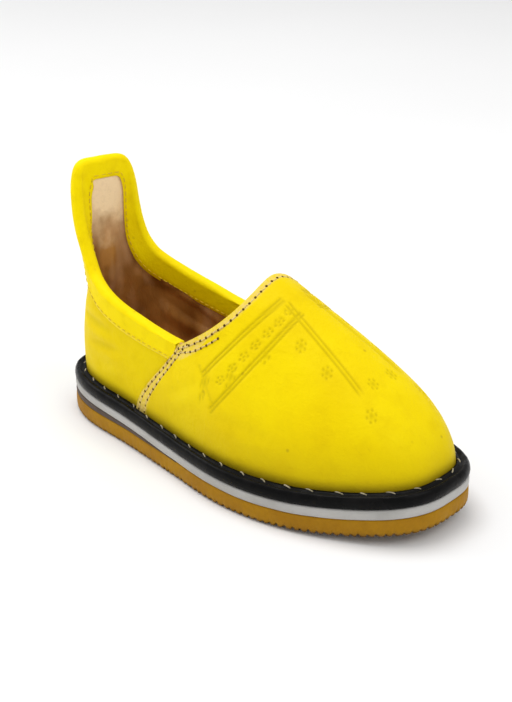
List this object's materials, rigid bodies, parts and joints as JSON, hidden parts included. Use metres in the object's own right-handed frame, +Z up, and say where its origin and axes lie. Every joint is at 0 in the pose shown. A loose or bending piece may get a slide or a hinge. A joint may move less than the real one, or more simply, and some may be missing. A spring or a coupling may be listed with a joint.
{
  "type": "babouche slipper with heel pull tab",
  "caption": "Child's leather slipper with a closed heel, a tall pull tab, a deep throat and a layered rubber sole.",
  "frame": {"origin": "on the floor under the middle of the sole", "axes": "+X to the toe, +Y to the left side, +Z up"},
  "size_m": [0.135, 0.0598, 0.0776],
  "materials": {
    "yellow_leather": "semi-gloss",
    "tan_leather": "matte",
    "black_rubber": "gloss",
    "white_foam": "matte",
    "brown_rubber": "matte",
    "ochre_rubber": "matte",
    "cream_thread": "matte"
  },
  "bodies": {
    "root": {"outsole": "ochre_rubber", "heel_wedge": "brown_rubber", "midsole": "white_foam", "welt": "black_rubber", "insole": "tan_leather", "upper": "yellow_leather", "collar_binding": "yellow_leather"}
  },
  "joints": []
}
